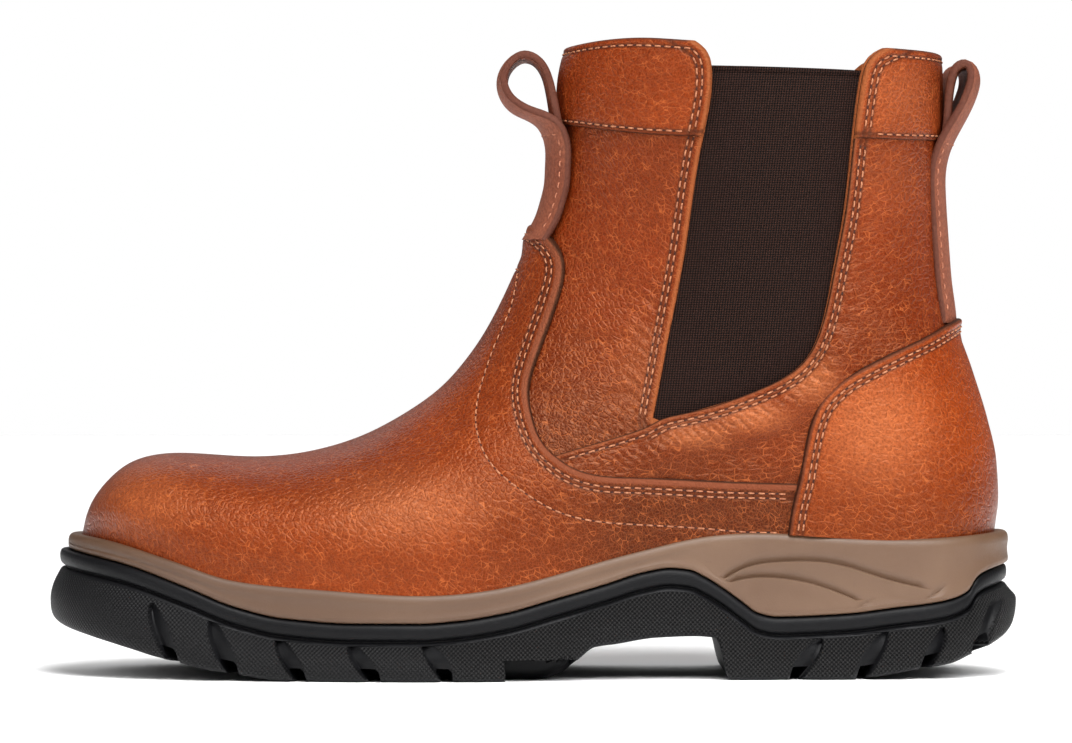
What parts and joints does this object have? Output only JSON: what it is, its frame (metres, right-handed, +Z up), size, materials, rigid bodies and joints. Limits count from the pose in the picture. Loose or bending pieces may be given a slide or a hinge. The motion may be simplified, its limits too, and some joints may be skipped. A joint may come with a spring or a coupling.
{
  "type": "work boot",
  "caption": "Pull-on ankle work boot, left foot: hollow leather upper with elastic side gores, pull loops, moulded midsole and lugged rubber outsole with a raised heel.",
  "frame": {"origin": "centre of the bounding box on the floor under the sole", "axes": "+Z up, -X towards the toe, -Y towards the outer side of the foot"},
  "size_m": [0.306, 0.1141, 0.1991],
  "materials": {
    "leather_tan": "pebbled full grain, satin",
    "leather_strap": "flat leather strip, raw edges",
    "elastic_brown": "fine ribbed elastic",
    "rubber_taupe": "matt moulded",
    "rubber_black": "matt, knurled sides",
    "footbed_fabric": "felt"
  },
  "bodies": {
    "root": {"outsole": "rubber_black", "midsole": "rubber_taupe", "insole": "footbed_fabric", "upper": "leather_tan", "vamp": "leather_tan", "heel_counter": "leather_tan", "collar_band_front": "leather_tan", "collar_band_rear": "leather_tan", "gore_lateral": "elastic_brown", "gore_medial": "elastic_brown", "pull_strap_front": "leather_strap", "pull_strap_rear": "leather_strap"}
  },
  "joints": []
}
